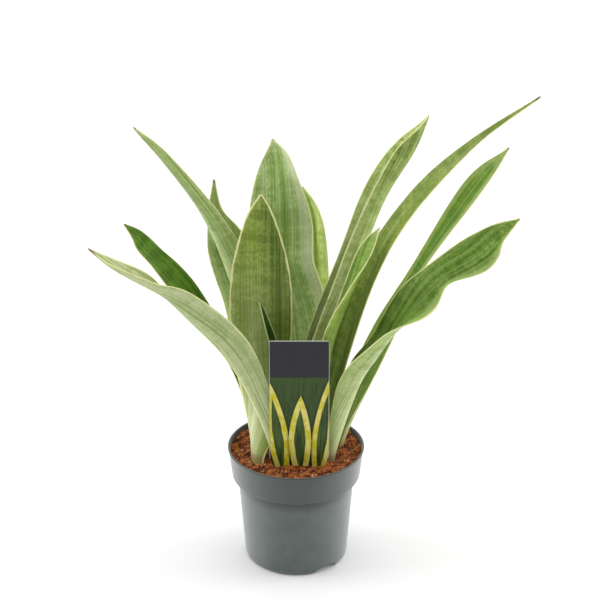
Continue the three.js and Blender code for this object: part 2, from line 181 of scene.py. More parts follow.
# One row for each place along a leaf, from its buried foot to its tip: the keel's x, y and z, half the
# blade's width, the turn of its inner face (0 looks to the front, 90 to the right) and its roll, which
# is the angle that the blade bends through from margin to margin.
LEAF_ROWS = {
    "leaf_left_low": [
        (-4.8, -24.5, 70, 9, 188, 70),
        (-7.5, -27.3, 100, 9.2, 188, 62),
        (-29, -26.5, 165, 9.7, 178, 58),
        (-53.6, -28, 218, 14.3, 170, 45),
        (-94, -37, 259.6, 16.6, 149, 105),
        (-123, -42, 281.2, 16.6, 107, 128),
        (-152, -48, 302.4, 11.2, 100, 112),
        (-171, -54, 323, 0.8, 100, 60),
    ],
    "leaf_left_middle": [
        (-34, 16, 70, 8, 70, 130),
        (-36, 15, 100, 9, 66, 120),
        (-44, 14, 157, 11, 50, 90),
        (-58, 11.6, 196, 10.9, 49, 64),
        (-76, 8.6, 222, 11.4, 50, 51),
        (-86.2, 5.2, 240, 12.6, 51, 47),
        (-96.2, 2, 258, 13, 52, 44),
        (-107.5, 0, 274.5, 12.1, 52, 42),
        (-119.5, -1.7, 290.6, 9.6, 51, 40),
        (-129.6, -3.2, 303.6, 8.9, 50, 38),
        (-135.2, -4.5, 313, 5.7, 48, 35),
        (-144, -6, 323, 0.8, 45, 30),
    ],
    "leaf_left_high": [
        (-19, 12, 70, 9, 145, 150),
        (-21, 13, 100, 9, 145, 135),
        (-27, 21, 163, 12, 140, 85),
        (-42, 25, 240, 16, 152, 62),
        (-72, 31, 308, 15, 134, 54),
        (-112, 36, 364, 11, 128, 57),
        (-137, 40, 392, 0.8, 140, 40),
    ],
    "leaf_rear_left": [
        (-12, 28, 70, 9, 180, 140),
        (-14, 30, 100, 9, 180, 130),
        (-33, 39, 162, 17, 182, 70),
        (-45, 49, 225, 21, 172, 48),
        (-60, 58, 274, 18, 190, 36),
        (-70, 65, 303, 7, 180, 34),
        (-71, 71, 331, 0.8, 180, 30),
    ],
    "leaf_front": [
        (-31.9, -32, 70, 10, 109, 120),
        (-36.6, -21.3, 108, 11, 121.5, 120),
        (-27.8, -7.5, 153, 20.4, 172, 64),
        (-29.7, -2, 217, 27, 184, 27),
        (-30, 0, 275, 25, 180, 22),
        (-30, 2, 323, 13, 182, 25),
        (-29, 3, 347, 0.8, 182, 20),
    ],
    "leaf_rear_wide": [
        (2, 13, 70, 11, 0, 140),
        (3, 15, 100, 11, 0, 120),
        (4, 30, 165, 19, 0, 60),
        (-1.3, 43, 216, 29.3, 2, 36),
        (-13.2, 52, 259, 29.2, 4, 33),
        (-14.1, 58, 295, 28.3, 8, 32),
        (-15.3, 64, 344, 18.1, -25.2, 36),
        (-20, 70, 369, 0.8, 0, 20),
    ],
    "leaf_rear_middle": [
        (18, 32, 70, 9, -10, 140),
        (18, 34, 100, 9, -10, 120),
        (18, 48, 148, 12, -9, 70),
        (17, 60, 210, 14, -12, 52),
        (15, 71, 269, 13, -9, 40),
        (13, 79, 297, 8, -6, 38),
        (6, 85, 318, 0.8, -5, 30),
    ],
    "leaf_young_left": [
        (-5.5, -3.5, 70, 4, 40, 160),
        (-6, -4, 100, 5, 40, 160),
        (-7.5, -8.5, 150, 5, 40, 140),
        (-16, -12, 195, 5, 40, 120),
        (-24, -15, 230, 4, 40, 105),
        (-31, -18, 258, 0.8, 40, 80),
    ],
    "leaf_tall_right": [
        (9, -6, 70, 10, -75, 185),
        (10, -4, 100, 11, -80, 180),
        (15, 12, 178, 17, -84, 165),
        (52, 18, 272, 27, -92, 165),
        (75, 25, 333, 27, -90, 160),
        (100, 31, 375, 24, -98, 165),
        (112, 36, 405, 0.8, -95, 90),
    ],
    "leaf_young_right": [
        (17, -14, 70, 6, -60, 190),
        (18, -14, 100, 6, -62, 190),
        (26, -16, 168, 7, -80, 190),
        (32, -17, 219, 13, -106, 175),
        (50, -17, 272, 12, -83, 140),
        (62, -16, 306, 8, -48, 108),
        (70, -15, 324, 0.8, -50, 80),
    ],
    "leaf_long_right": [
        (22, 4, 70, 10, -70, 170),
        (24, 4, 100, 11, -70, 150),
        (37, -2, 182, 15, -62, 80),
        (64, -9, 280, 14, -66, 45),
        (98, -15, 346, 12, -72, 33),
        (145, -21, 402, 4.3, -52, 36),
        (198, -28, 446, 0.8, -55, 25),
    ],
    "leaf_rear_right": [
        (36.9, 6, 70, 6, -75, 180),
        (40.4, 9, 103, 6.3, -70, 165),
        (58.4, 25, 151, 14.8, -58.2, 105),
        (81, 31, 204, 17, -64, 70),
        (104, 38, 257, 8, -62, 48),
        (152, 47, 332, 11.5, -56, 50),
        (182, 55, 367, 0.8, -50, 30),
    ],
    "leaf_wavy_right": [
        (31.8, -22, 70, 5.4, -138, 180),
        (32.8, -20, 108, 6.2, -126.3, 173.1),
        (52.6, -16, 172, 23, -107.4, 194.8),
        (71, -20, 208, 24, -104, 145),
        (95, -25, 250, 21, -70, 90),
        (117.6, -30, 283.6, 14, -25, 42),
        (149, -35, 309, 16, -22, 40),
        (167, -38, 329, 9, -30, 37),
        (184, -42, 344, 0.8, -25, 20),
    ],
}

# The sockets of "Leaf skin" that each word of a leaf's look sets
LOOK_WORDS = {
    "faces": ["Inner Colour", "Outer Colour"],
    "silver": ["Silver Colour"],
    "stripe": ["Stripe Place", "Stripe Width", "Stripe Depth"],
    "band": ["Edge Band", "Edge Band Depth"],
    "margin": ["Margin Width", "Margin Colour"],
    "foot": ["Foot Length", "Inner Foot Colour", "Foot Colour"],
    "texture": ["Streak Depth", "Mottle Depth"],
    "shade": ["Shade Length", "Shade Depth"],
    "tip": ["Tip Length"],
}

# How each leaf is coloured, where it differs from the values that "Leaf skin" starts with
LEAF_LOOKS = {
    "leaf_left_low": dict(faces=["CCD49E", "BCCA90"], silver=["D6DCB4"], stripe=[0.35, 0.4, -0.3],
                          margin=[1.3], foot=[150.0], texture=[0.9, 0.35], tip=[12.0]),
    "leaf_left_middle": dict(faces=["5E8A12", "8FA556"], silver=["8CAE4C"], band=[3.0, 0.2], margin=[0.4],
                             foot=[60.0, "9AB05C"], texture=[0.6, 0.8]),
    "leaf_left_high": dict(faces=["7E9A4A", "A4BC6E"], stripe=[0.1, 0.45, -0.5], band=[4.0, 0.35],
                           margin=[0.6], foot=[240.0], texture=[0.9], tip=[3.0]),
    "leaf_rear_left": dict(faces=["7E9A4A", "8AA852"], band=[8.0, 0.35], margin=[1.2], texture=[0.8],
                           tip=[5.0]),
    # The front leaf's dark stripe, set by a negative stripe depth, is painted shade over the half that curves
    # away.
    "leaf_front": dict(faces=["7E9440", "9CB04C"], silver=["B0BE70"], stripe=[-0.9, 1.2, -1.0],
                       band=[6.0, 0.15], margin=[2.0], foot=[215.0, "E6ECC0", "F0F2CA"],
                       texture=[0.6, 0.8], tip=[0.6]),
    "leaf_rear_wide": dict(faces=["C6E290", "A0B478"], silver=["ECF4D0"], stripe=[0.9, 0.4, 0.8],
                           band=[4.0, 0.4], margin=[1.4], texture=[0.75, 0.65], tip=[1.5]),
    "leaf_rear_middle": dict(faces=["EAFC9E", "A0B464"], stripe=[0.1, 0.35, -1.0], band=[4.0, 0.4],
                             margin=[1.0], texture=[0.7], tip=[1.0]),
    "leaf_young_left": dict(faces=["2C4408", "344E0C"], silver=["5A7A2C"], band=[4.0, 0.0],
                            margin=[0.6, "B4CA7C"], texture=[0.2], tip=[0.5]),
    # The tall right leaf's very dark inner foot colour is painted shade low in its channel, where little
    # light gets in.
    "leaf_tall_right": dict(faces=["D6E69E", "BED27A"], silver=["D2DC9E"], band=[5.0, 0.1], margin=[1.1],
                            foot=[330.0, "102600", "FAFFCC"], texture=[0.6, 0.8], shade=[150.0, 0.8],
                            tip=[0.6]),
    "leaf_young_right": dict(faces=["8EB246", "A4C450"], margin=[0.9], tip=[0.8]),
    "leaf_long_right": dict(faces=["869E3E", "9CAC64"], silver=["B8C480"], stripe=[0.1, 0.1, 0.15],
                            margin=[0.4], foot=[150.0, "8A9C54"], texture=[0.7, 0.7], tip=[8.0]),
    "leaf_rear_right": dict(faces=["6C9814", "A4B864"], silver=["BCCC84"], band=[6.0, 0.6], margin=[0.6]),
    "leaf_wavy_right": dict(faces=["729630", "C6D69C"], silver=["B0CA78"], stripe=[0.95, 0.4, 0.85],
                            margin=[1.0], foot=[140.0, "E0E8B8"], texture=[0.75, 0.8]),
}
SEED_STEP = 7.3
SHADE = "A8B874"


# Nodes


def coloured(value):
    """A linear colour from six hex digits, and any other value as it is."""
    if not isinstance(value, str) or value in SOCKETS:
        return value
    shares = [int(value[i : i + 2], 16) / 255 for i in (0, 2, 4)]
    return tuple(s / 12.92 if s <= 0.04045 else ((s + 0.055) / 1.055) ** 2.4 for s in shares) + (1.0,)


def operator(operation, swapped=False):
    """A method of Wire that adds the node of an arithmetic operation."""

    def method(wire, other):
        a, b = (other, wire) if swapped else (wire, other)
        return wire.maker.arithmetic(operation, a, b)

    return method


class Wire:
    """One output of a node. Arithmetic on wires adds the nodes that work it out."""

    __add__ = __radd__ = operator("ADD")
    __mul__ = __rmul__ = operator("MULTIPLY")
    __sub__ = operator("SUBTRACT")
    __rsub__ = operator("SUBTRACT", swapped=True)
    __truediv__ = operator("DIVIDE")

    def __init__(self, maker, socket):
        self.maker = maker
        self.socket = socket
        self.is_vector = socket.type in ("VECTOR", "RGBA")

    def __abs__(self):
        return self.maker.math("ABSOLUTE", self)

    def larger(self, other):
        return self.maker.math("MAXIMUM", self, other)

    def smooth(self, low, high, to_low=0.0, to_high=1.0):
        """Goes softly from to_low to to_high as the wire goes from low to high; low may be above high."""
        inputs = {0: self, 1: low, 2: high, 3: to_low, 4: to_high}
        return self.maker.wire("ShaderNodeMapRange", inputs, interpolation_type="SMOOTHSTEP")


class Maker:
    """Adds nodes to one tree. Sockets are called by name or by place."""

    def __init__(self, tree):
        self.tree = tree

    def node(self, kind, inputs=None, **settings):
        node = self.tree.nodes.new(kind)
        for name, value in settings.items():
            setattr(node, name, value)
        self.plug(node, inputs or {})
        return node

    def plug(self, node, inputs):
        """Gives a node's inputs their wires or plain values; a list is several wires for one socket."""
        for name, value in inputs.items():
            if isinstance(name, int):
                socket = node.inputs[name]
            else:
                socket = next(s for s in node.inputs if s.name == name and s.enabled)
            for item in value if isinstance(value, list) else [value]:
                if isinstance(item, Wire):
                    self.tree.links.new(item.socket, socket)
                elif item is not None:
                    socket.default_value = item

    def out(self, node, name=None):
        """The wire of one output, or of the first that is in use."""
        if isinstance(name, int):
            return Wire(self, node.outputs[name])
        return Wire(self, next(s for s in node.outputs if s.enabled and name in (None, s.name)))

    def wire(self, kind, inputs=None, name=None, **settings):
        return self.out(self.node(kind, inputs, **settings), name)

    def arithmetic(self, operation, a, b):
        vectors = [isinstance(v, tuple) or (isinstance(v, Wire) and v.is_vector) for v in (a, b)]
        if operation == "MULTIPLY" and vectors[0] != vectors[1]:
            vector, factor = (a, b) if vectors[0] else (b, a)
            return self.wire("ShaderNodeVectorMath", {0: vector, 3: factor}, operation="SCALE")
        kind = "ShaderNodeVectorMath" if any(vectors) else "ShaderNodeMath"
        return self.wire(kind, {0: a, 1: b}, operation=operation)

    def math(self, operation, a, b=None):
        return self.wire("ShaderNodeMath", {0: a, 1: b}, operation=operation)

    def around(self, angle):
        """The cosine and the sine of an angle."""
        return self.math("COSINE", angle), self.math("SINE", angle)

    def vector(self, x, y, z):
        return self.wire("ShaderNodeCombineXYZ", {0: x, 1: y, 2: z})

    def parts(self, vector):
        node = self.node("ShaderNodeSeparateXYZ", {0: vector})
        return [self.out(node, i) for i in range(3)]

    def mix(self, factor, a, b, blend="MIX"):
        """Mixes two colours, each a wire, a tuple or six hex digits."""
        settings = {"data_type": "RGBA", "blend_type": blend, "clamp_factor": True}
        return self.wire("ShaderNodeMix", {0: factor, 6: coloured(a), 7: coloured(b)}, 2, **settings)

    def noise(self, vector, scale, detail=2.0, roughness=0.5, output=0):
        inputs = {"Vector": vector, "Scale": scale, "Detail": detail, "Roughness": roughness}
        return self.wire("ShaderNodeTexNoise", inputs, output)

    def shaded_place(self):
        """Where a shaded point is, in millimetres."""
        return self.wire("ShaderNodeTexCoord", None, "Object") * TO_MM

    def attribute(self, name, kind="FLOAT"):
        """A named attribute, in a geometry tree or in a shader."""
        if self.tree.bl_idname == "GeometryNodeTree":
            return self.wire("GeometryNodeInputNamedAttribute", {"Name": name}, data_type=kind)
        output = "Vector" if kind == "FLOAT_VECTOR" else "Fac"
        return self.wire("ShaderNodeAttribute", None, output, attribute_name=name)

    def geometry(self, kind, geometry, inputs=None, **settings):
        """A node that works on a geometry, with its kind given without GeometryNode."""
        return self.wire("GeometryNode" + kind, {"Geometry": geometry, **(inputs or {})}, **settings)

    def store(self, geometry, name, value, kind="FLOAT", domain="POINT"):
        inputs = {"Name": name, "Value": value}
        return self.geometry("StoreNamedAttribute", geometry, inputs, data_type=kind, domain=domain)

    def finish(self, output, geometry, material, smooth):
        """Ends a geometry tree with its shading, real instances and material."""
        shaded = self.geometry("SetShadeSmooth", geometry, {"Shade Smooth": smooth})
        real = self.wire("GeometryNodeRealizeInstances", {"Geometry": shaded})
        painted = self.wire("GeometryNodeSetMaterial", {"Geometry": real, "Material": material})
        self.node("NodeGroupOutput", {output: painted})
        return self.tree


# The kind of socket for a value, and for one that is given without a value
SOCKETS = {int: "NodeSocketInt", float: "NodeSocketFloat", tuple: "NodeSocketColor",
           "value": "NodeSocketFloat", "colour": "NodeSocketColor", "geometry": "NodeSocketGeometry",
           "object": "NodeSocketObject", "material": "NodeSocketMaterial"}
SKIN_OUTPUTS = {"Colour": "colour", "Roughness": "value", "Relief": "value"}


def new_tree(name, kind, inputs, outputs):
    """A node group with named inputs and outputs: its maker, and its inputs as given.foot_length."""
    tree = bpy.data.node_groups.new(name, kind)
    for label, value in inputs.items():
        value = coloured(value)
        bare = value in SOCKETS
        socket_type = SOCKETS[value if bare else type(value)]
        socket = tree.interface.new_socket(label, in_out="INPUT", socket_type=socket_type)
        if not bare:
            socket.default_value = value
    for label, word in outputs.items():
        tree.interface.new_socket(label, in_out="OUTPUT", socket_type=SOCKETS[word])
    maker = Maker(tree)
    entry = maker.node("NodeGroupInput")
    given = {s.name.lower().replace(" ", "_"): Wire(maker, s) for s in entry.outputs if s.name}
    return maker, SimpleNamespace(**given)


def line_sheet(maker, line, ring):
    """A sheet with a row for each point of a line, its columns, and how its points read the line."""
    count = maker.geometry("AttributeDomainSize", line, name="Point Count", component="MESH")
    sheet = maker.wire("GeometryNodeMeshGrid", {"Vertices X": count, "Vertices Y": ring}, "Mesh")
    index = maker.wire("GeometryNodeInputIndex")
    row = maker.math("FLOOR", (index + 0.5) / ring)

    def at_row(value, kind="FLOAT"):
        inputs = {"Value": value, "Index": row}
        return maker.geometry("SampleIndex", line, inputs, data_type=kind, domain="POINT")

    return sheet, index - row * ring, at_row


def new_material(name):
    """A material with its Principled shader, and the maker for its other nodes."""
    material = bpy.data.materials.new(name)
    material.use_nodes = True
    maker = Maker(material.node_tree)
    shader = next(n for n in material.node_tree.nodes if n.type == "BSDF_PRINCIPLED")
    return material, maker, shader


def finish_shader(maker, shader, colour, roughness, relief, depth, uniform):
    """Gives a shader its colour, its roughness, a relief of some depth in millimetres and uniform values."""
    bump = maker.wire("ShaderNodeBump", {"Height": relief, "Distance": depth * MM, "Strength": 1.0})
    maker.plug(shader, {"Base Color": colour, "Roughness": roughness, "Normal": bump, **uniform})


# Meshes


def linked(made):
    """Puts an object into the scene."""
    bpy.context.scene.collection.objects.link(made)
    return made


def mesh_object(name, points, edges=(), faces=()):
    """A mesh in metres from points in millimetres, as an object at the origin."""
    mesh = bpy.data.meshes.new(name)
    mesh.from_pydata([tuple(float(c) * MM for c in p) for p in points], edges, faces)
    mesh.update()
    return linked(bpy.data.objects.new(name, mesh))


def line_object(name, points):
    return mesh_object(name, points, [(i, i + 1) for i in range(len(points) - 1)])


def mark_points(made, name, values):
    """Stores a value or a vector for each point of an object's mesh."""
    values = np.asarray(values, np.float32)
    kind, field = ("FLOAT_VECTOR", "vector") if values.ndim == 2 else ("FLOAT", "value")
    made.data.attributes.new(name, kind, "POINT").data.foreach_set(field, values.ravel())


def keep_modified(made):
    """Keeps what an object's modifiers make of it as its plain mesh."""
    bpy.context.view_layer.update()
    evaluated = made.evaluated_get(bpy.context.evaluated_depsgraph_get())
    mesh = bpy.data.meshes.new_from_object(evaluated)
    made.modifiers.clear()
    made.data = mesh
    mesh.name = made.name
    return made


def run_tree(made, tree, values):
    """Runs a geometry tree on an object and keeps the result as its plain mesh."""
    modifier = made.modifiers.new("Build", "NODES")
    modifier.node_group = tree
    for item in tree.interface.items_tree:
        if item.in_out == "INPUT" and item.name in values:
            modifier[item.identifier] = values[item.name]
    return keep_modified(made)


def joined_mesh(meshes):
    """One mesh of the points and faces of several."""
    points, faces = [], []
    for mesh in meshes:
        first = len(points)
        points.extend(tuple(v.co) for v in mesh.vertices)
        faces.extend(tuple(first + i for i in p.vertices) for p in mesh.polygons)
    joined = bpy.data.meshes.new("joined")
    joined.from_pydata(points, (), faces)
    return joined


# Leaves


def between(rows, places):
    """Smooth values and their slopes at places between the rows, with the ends carried straight on."""
    rows = np.asarray(rows, float)
    whole = np.vstack([2 * rows[0] - rows[1], rows, 2 * rows[-1] - rows[-2]])
    first = np.clip(np.floor(places).astype(int), 0, len(rows) - 2)
    part = (places - first)[:, None]
    a, b, c, d = (whole[first + i] for i in range(4))
    square = 2 * a - 5 * b + 4 * c - d
    cube = 3 * b - a - 3 * c + d
    values = b + 0.5 * part * (c - a + part * (square + part * cube))
    slopes = 0.5 * (c - a + part * (2 * square + 3 * part * cube))
    return values, slopes


def turn_about(vectors, axes, angles):
    """Vectors square to their axes, turned about them by the right-hand rule."""
    return vectors * np.cos(angles)[:, None] + np.cross(axes, vectors) * np.sin(angles)[:, None]


def keel_line(name):
    """A leaf's keel as a line of points that carry what its blade needs there."""
    rows = LEAF_ROWS[name]
    last = len(rows) - 1
    places = np.linspace(0, last, last * STEPS_PER_ROW + 1)
    values, slopes = between(rows, places)
    keel = values[:, :3]
    onward = slopes[:, :3] / np.linalg.norm(slopes[:, :3], axis=1, keepdims=True)
    side = np.cross(onward, FACING_FRONT)
    side = turn_about(side / np.linalg.norm(side, axis=1, keepdims=True), onward, np.radians(values[:, 4]))
    steps = np.linalg.norm(np.diff(keel, axis=0), axis=1)
    run = np.concatenate([[0], np.cumsum(steps)])
    soil_run = np.interp(1, places, run)
    part = np.clip((places - RIPPLE_FIRST_ROW) / (RIPPLE_LAST_ROW - RIPPLE_FIRST_ROW), 0, 1)
    wave = 2 * np.pi * RIPPLE_WAVES * part
    swell = np.sin(np.pi * part) * (name == RIPPLED_LEAF)
    thickness = BLADE_THICKNESS + (BLADE_TIP_THICKNESS - BLADE_THICKNESS) * places / last
    carried = {
        "side": side,
        "inward": np.cross(side, onward),
        "half_width": np.maximum(values[:, 3], TIP_HALF_WIDTH) * MM,
        "half_roll": np.radians(values[:, 5] / 2),
        "thickness": thickness * MM,
        "lift": RIPPLE_HEIGHT * np.sin(wave) * swell * MM,
        "reach": -RIPPLE_SPREAD * np.cos(wave) * swell * MM,
        "height": run - soil_run,
        "to_tip": run[-1] - run,
        "closed": np.isin(np.arange(len(keel)), [0, len(keel) - 1]),
    }
    line = line_object(name.replace("leaf", "blade"), keel)
    for key, data in carried.items():
        mark_points(line, key, data)
    return line


def blade_tree():
    """Bends and thickens a blade round its keel line, with a round edge along both margins."""
    inputs = {"Keel": "geometry", "Ring Points": RING_POINTS, "Margin Thickness": MARGIN_THICKNESS * MM,
              "Material": "material"}
    maker, given = new_tree("Blade round a keel", "GeometryNodeTree", inputs, {"Blade": "geometry"})
    ring, margin = given.ring_points, given.margin_thickness
    sheet, column, at_row = line_sheet(maker, given.keel, ring)
    place = at_row(maker.wire("GeometryNodeInputPosition"), "FLOAT_VECTOR")
    side, inward = (at_row(maker.attribute(n, "FLOAT_VECTOR"), "FLOAT_VECTOR") for n in ("side", "inward"))
    names = ["half_width", "half_roll", "thickness", "lift", "reach", "height", "to_tip", "closed"]
    half_width, half_roll, thickness, lift, reach, height, to_tip, closed = (
        at_row(maker.attribute(n)) for n in names
    )
    cosine, sine = maker.around(column * (2 * math.pi) / (ring - 1))
    across = cosine * -1
    face = maker.math("SIGN", maker.math("SNAP", sine, LEVEL_STEP))
    square = across * across
    from_margin = (1 - abs(across)) * half_width
    edge = (1 - from_margin / (margin / 2)).larger(0)
    rounding = maker.math("SQRT", (1 - edge * edge).larger(0))
    half = (thickness + (margin - thickness) * square) / 2 * rounding * (1 - closed) * face
    bend = half_width / half_roll
    cosine, sine = maker.around(across * half_roll)
    normal = inward * cosine - side * sine
    sideways = side * cosine + inward * sine
    ripple = square * maker.math("GREATER_THAN", across, 0)
    point = place + inward * bend + normal * (lift * ripple - bend + half) + sideways * (reach * ripple)
    blade = maker.geometry("SetPosition", sheet, {"Position": point})
    marks = {
        "blade": maker.vector(across, height, face),
        "edge": maker.vector(from_margin * TO_MM, to_tip, across * half_width * TO_MM),
    }
    for name, value in marks.items():
        blade = maker.store(blade, name, value, "FLOAT_VECTOR")
    welded = maker.geometry("MergeByDistance", blade, {"Distance": WELD_DISTANCE})
    return maker.finish("Blade", welded, given.material, True)


def skin_patterns(maker, seed, across, height, sideways):
    """The patterns of noise over a leaf, each with a salt of its own."""

    def pattern(x, y, salt, *noise):
        return maker.noise(maker.vector(x, y, seed + salt), *noise)

    sway = pattern(sideways * 0.12, height * 0.1, 40, 1.0)
    return SimpleNamespace(
        streaks=pattern(sideways, height * 0.012, 0, 0.75, 4.0, 0.65),
        lines=pattern(sideways, height * 0.012, 10, 0.3, 1.0),
        broad=pattern(sideways, height * 0.02, 20, 0.17),
        bands=pattern(sideways * 0.4, height + sway * 3, 50, 0.1, 4.0, 0.6),
        mottle=pattern(sideways, height * 0.7 + sway, 60, 0.42, 5.0, 0.7),
        grain=pattern(sideways, height * 0.4, 70, 2.2),
        specks=pattern(sideways, height * 0.5, 100, 0.7, 1.0),
        wander=maker.noise(maker.vector(seed + 80, height * 0.07, across), 1.0, 3.0),
    )


def skin_ground(maker, given, blade, noise):
    """A leaf's colour before its texture, and how far its pale foot and its pale bands reach into it."""
    colour = maker.mix(blade.inner, given.outer_colour, given.inner_colour)
    foot = (blade.height + (noise.streaks - 0.5) * 70).smooth(given.foot_length, 0.0)
    # A dark inner foot colour, as on the tall right leaf, paints shade low in the channel.
    foot_colour = maker.mix(blade.inner, given.foot_colour, given.inner_foot_colour)
    colour = maker.mix(foot * 0.9, colour, foot_colour)
    off_stripe = abs(blade.across - given.stripe_place) + (noise.broad - 0.5) * 0.12
    stripe = off_stripe.smooth(given.stripe_width, given.stripe_width * 0.25)
    shaded = blade.to_tip.smooth(given.shade_length, given.shade_length * 0.2) * given.shade_depth
    # A negative stripe depth darkens a stripe; on the front leaf this is painted shade.
    darker = stripe * (given.stripe_depth * -1).larger(0.0)
    colour = maker.mix(darker.larger(shaded * (1 - blade.inner)), colour, SHADE, "MULTIPLY")
    band = (blade.margin + (noise.streaks - 0.5) * 3).smooth(given.edge_band, given.edge_band * 0.5)
    pale = (stripe * given.stripe_depth.larger(0.0)).larger(band * given.edge_band_depth)
    return maker.mix(pale, colour, given.silver_colour), foot, pale


def skin_texture(maker, given, blade, noise, ground, foot, pale):
    """Lays deeper and more silver streaks, mottling and threads over the ground, and a stain by the soil."""
    deep = maker.mix(1.0, ground, SHADE, "MULTIPLY")
    silver = maker.mix(0.6, ground, given.silver_colour)
    thread = maker.mix(0.5, silver, given.silver_colour)
    streaked = given.streak_depth * (1 - (foot * 0.1).larger(pale * 0.8))
    mottled = given.mottle_depth * (1 - (foot * 0.9).larger(pale * 0.8))
    layers = [
        (noise.broad, 0.5, 0.75, streaked, 1.0, deep),
        (noise.broad, 0.5, 0.25, streaked, 0.6, silver),
        (noise.streaks, 0.49, 0.62, streaked, 0.8, deep),
        (noise.streaks, 0.47, 0.35, streaked, 0.7, silver),
        (noise.mottle, 0.46, 0.62, mottled, 0.8, deep),
        (noise.mottle, 0.45, 0.32, mottled, 0.5, silver),
        (noise.bands, 0.44, 0.6, mottled, 0.8, deep),
        (abs(noise.lines - 0.5), 0.06, 0.02, streaked, 0.5, thread),
        (noise.grain, 0.5, 0.72, 1.0, 0.3, deep),
        (blade.height + (noise.mottle - 0.5) * 12, 5.0, -2.0, 1.0, 0.6, "8C6B45"),
    ]
    colour = ground
    for value, clear, full, depth, share, over in layers:
        colour = maker.mix(value.smooth(clear, full) * depth * share, colour, over)
    return colour


def leaf_skin_group():
    """Colour, roughness and relief of a leaf: streaks, mottling, cream margin, pale foot and dry tip."""
    inputs = {
        "Inner Colour": "5E7A34", "Outer Colour": "93AD74", "Silver Colour": "CCD6A0",
        "Margin Width": 1.0, "Margin Colour": "F0EFAC",
        "Foot Length": 90.0, "Inner Foot Colour": "B9C48A", "Foot Colour": "D2D8A6",
        "Streak Depth": 0.6, "Mottle Depth": 0.5,
        "Stripe Place": 0.0, "Stripe Width": 0.2, "Stripe Depth": 0.0,
        "Edge Band": 4.0, "Edge Band Depth": 0.15,
        "Shade Length": 100.0, "Shade Depth": 0.0, "Tip Length": 2.0, "Seed": 0.0,
    }
    maker, given = new_tree("Leaf skin", "ShaderNodeTree", inputs, SKIN_OUTPUTS)
    across, height, face = maker.parts(maker.attribute("blade", "FLOAT_VECTOR"))
    margin, to_tip, sideways = maker.parts(maker.attribute("edge", "FLOAT_VECTOR"))
    inner = face.smooth(-0.3, 0.3)
    blade = SimpleNamespace(across=across, height=height, inner=inner, margin=margin, to_tip=to_tip)
    noise = skin_patterns(maker, given.seed + inner * 30, across, height, sideways)
    ground, foot, pale = skin_ground(maker, given, blade, noise)
    colour = skin_texture(maker, given, blade, noise, ground, foot, pale)

    width = given.margin_width * (noise.wander * 2.0)
    line = margin.smooth(width, width * 0.6)
    rust = margin.smooth(width * 0.8, width * 0.3) * noise.wander.smooth(0.64, 0.72)
    dry = (to_tip + (noise.grain - 0.5) * 3).smooth(given.tip_length, given.tip_length * 0.3)
    mark = noise.specks.smooth(0.8, 0.84)
    marks = [(line, 0.9, given.margin_colour), (rust, 0.6, "A98A50"), (dry, 0.85, "85643C"),
             (mark, 0.7, "7A5A38")]
    for value, share, over in marks:
        colour = maker.mix(value * share, colour, over)

    roughness = 0.46 + (noise.streaks - 0.5) * 0.2 + dry * 0.25 + (noise.mottle - 0.5) * 0.1
    relief = noise.streaks * 0.6 + noise.grain * 0.25 + noise.mottle * 0.3 - mark * 0.5 + line * 0.4
    maker.node("NodeGroupOutput", {"Colour": colour, "Roughness": roughness, "Relief": relief})
    return maker.tree


def leaf_material(name, group, seed):
    material, maker, shader = new_material(name.replace("leaf", "skin"))
    values = {"Seed": seed}
    for word, settings in LEAF_LOOKS[name].items():
        values.update(zip(LOOK_WORDS[word], map(coloured, settings)))
    skin = maker.node("ShaderNodeGroup", values, node_tree=group)
    uniform = {"Specular IOR Level": 0.2, "Coat Weight": 0.02, "Coat Roughness": 0.35}
    finish_shader(maker, shader, *(maker.out(skin, output) for output in SKIN_OUTPUTS), 0.25, uniform)
    return material


def add_blades():
    tree, group = blade_tree(), leaf_skin_group()
    blades = []
    for place, name in enumerate(LEAF_ROWS):
        material = leaf_material(name, group, SEED_STEP * place + 1)
        blade = run_tree(keel_line(name), tree, {"Material": material})
        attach(blade, "root")
        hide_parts(name)
        blades.append(blade)
    return blades


# Pot


def softened(corners):
    """A profile with its corners rounded: each corner is (radius, height, rounding length, inside)."""
    points = []
    for place, (radius, height, rounding, inside) in enumerate(corners):
        corner = np.array([radius, height])
        if rounding == 0:
            points.append((radius, height, inside))
            continue
        before = np.array(corners[place - 1][:2]) - corner
        after = np.array(corners[place + 1][:2]) - corner
        start = corner + before / np.linalg.norm(before) * rounding
        end = corner + after / np.linalg.norm(after) * rounding
        for part in np.linspace(0, 1, ROUNDING_POINTS):
            point = (1 - part) ** 2 * start + 2 * part * (1 - part) * corner + part**2 * end
            points.append((*point, inside))
    return points


